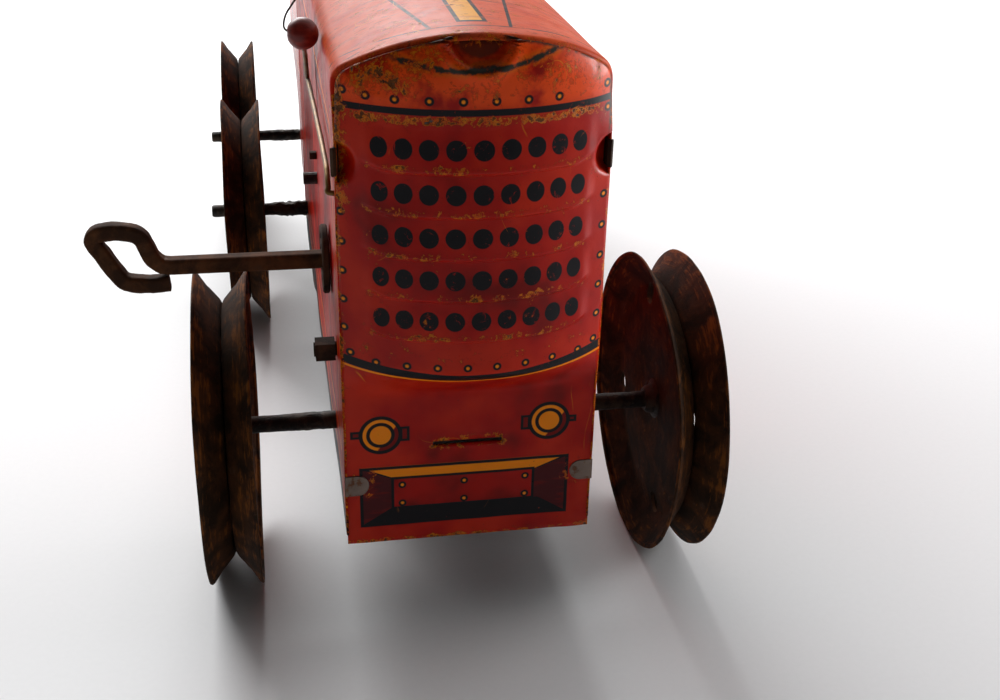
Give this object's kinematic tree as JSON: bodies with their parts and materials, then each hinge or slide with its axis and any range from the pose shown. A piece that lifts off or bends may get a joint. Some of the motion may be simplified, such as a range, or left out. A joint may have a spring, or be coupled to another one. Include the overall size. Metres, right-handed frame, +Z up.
{
  "type": "clockwork locomotive",
  "caption": "Tin clockwork locomotive with a dotted grille, arched hood, rear cab, V-grooved wheels, a side winding key and a ball-ended lever.",
  "frame": {"origin": "on the floor under the middle of the box that holds the toy and its key", "axes": "+Z up, the grille faces -Y, axles along X, key on the -X side"},
  "size_m": [0.1327, 0.304, 0.1579],
  "materials": {
    "red_tin": "glossy printed tin, chipped and rusty at the edges",
    "rusty_steel": "rust-brown stamped steel",
    "black_iron": "dark, greasy, lightly rusted",
    "grey_steel": "dull bare steel",
    "brass": "dull brass",
    "spring_steel": "blued spring steel",
    "red_wood": "dark red painted wood"
  },
  "bodies": {
    "chassis": {"front_panel": "red_tin", "hood_shell": "red_tin", "cab_shell": "red_tin", "cab_floor": "black_iron", "cab_back_panel": "red_tin", "cab_roof": "red_tin", "rear_frame": "grey_steel", "drawbar": "grey_steel", "motor_plate_left": "grey_steel", "motor_plate_right": "grey_steel", "cross_rod": "grey_steel", "cross_rod_spacer": "grey_steel", "cross_rod_nut": "black_iron", "upper_pillar": "black_iron", "lower_pillar": "grey_steel", "key_collar": "rusty_steel", "mainspring": "spring_steel"},
    "front_wheels": {"front_axle": "black_iron", "front_left_disc_outer": "rusty_steel", "front_left_disc_inner": "rusty_steel", "front_left_hub": "black_iron", "front_right_disc_outer": "rusty_steel", "front_right_disc_inner": "rusty_steel", "front_right_hub": "black_iron", "front_axle_pinion": "brass"},
    "middle_wheels": {"middle_axle": "black_iron", "middle_left_disc_outer": "rusty_steel", "middle_left_disc_inner": "rusty_steel", "middle_left_hub": "black_iron", "middle_right_disc_outer": "rusty_steel", "middle_right_disc_inner": "rusty_steel", "middle_right_hub": "black_iron"},
    "rear_wheels": {"rear_axle": "black_iron", "rear_left_disc_outer": "rusty_steel", "rear_left_disc_inner": "rusty_steel", "rear_left_hub": "black_iron", "rear_right_disc_outer": "rusty_steel", "rear_right_disc_inner": "rusty_steel", "rear_right_hub": "black_iron"},
    "great_wheel": {"great_wheel": "brass", "click_rivet": "brass"},
    "click": {"click": "grey_steel"},
    "winder": {"winding_arbor": "grey_steel", "winding_key": "rusty_steel", "ratchet_wheel": "grey_steel"},
    "second_arbor": {"second_arbor": "grey_steel", "second_wheel": "brass", "second_pinion": "brass"},
    "governor": {"governor_arbor": "grey_steel", "governor_pinion": "brass", "governor_fly": "grey_steel"},
    "lever": {"lever_wire": "brass", "lever_ball": "red_wood"}
  },
  "joints": [
    {"name": "front_axle_spin", "type": "hinge", "parent": "chassis", "child": "front_wheels", "pos_m": [0.00855, -0.11205, 0.035], "axis": [1, 0, 0], "continuous": true},
    {"name": "middle_axle_spin", "type": "hinge", "parent": "chassis", "child": "middle_wheels", "pos_m": [0.00855, 0.02805, 0.035], "axis": [1, 0, 0], "continuous": true},
    {"name": "rear_axle_spin", "type": "hinge", "parent": "chassis", "child": "rear_wheels", "pos_m": [0.00855, 0.10885, 0.035], "axis": [1, 0, 0], "continuous": true},
    {"name": "second_arbor_spin", "type": "hinge", "parent": "chassis", "child": "second_arbor", "pos_m": [0.00855, -0.10905, 0.05558], "axis": [1, 0, 0], "continuous": true},
    {"name": "great_wheel_spin", "type": "hinge", "parent": "chassis", "child": "great_wheel", "pos_m": [0.00855, -0.11505, 0.0755], "axis": [1, 0, 0], "continuous": true},
    {"name": "governor_spin", "type": "hinge", "parent": "chassis", "child": "governor", "pos_m": [0.00855, -0.08905, 0.05558], "axis": [1, 0, 0], "continuous": true},
    {"name": "key_winding", "type": "hinge", "parent": "great_wheel", "child": "winder", "pos_m": [0.00855, -0.11505, 0.0755], "axis": [1, 0, 0], "continuous": true},
    {"name": "click_lift", "type": "hinge", "parent": "great_wheel", "child": "click", "pos_m": [0.00855, -0.11805, 0.0885], "axis": [1, 0, 0], "range_deg": [0, 14]},
    {"name": "lever_swing", "type": "hinge", "parent": "chassis", "child": "lever", "pos_m": [0.00855, -0.14005, 0.0975], "axis": [1, 0, 0], "range_deg": [-6, 8]}
  ],
  "couplings": [
    {"joint": "second_arbor_spin", "follows": "front_axle_spin", "ratio": -0.3},
    {"joint": "great_wheel_spin", "follows": "front_axle_spin", "ratio": 0.09},
    {"joint": "governor_spin", "follows": "front_axle_spin", "ratio": 1.2}
  ]
}
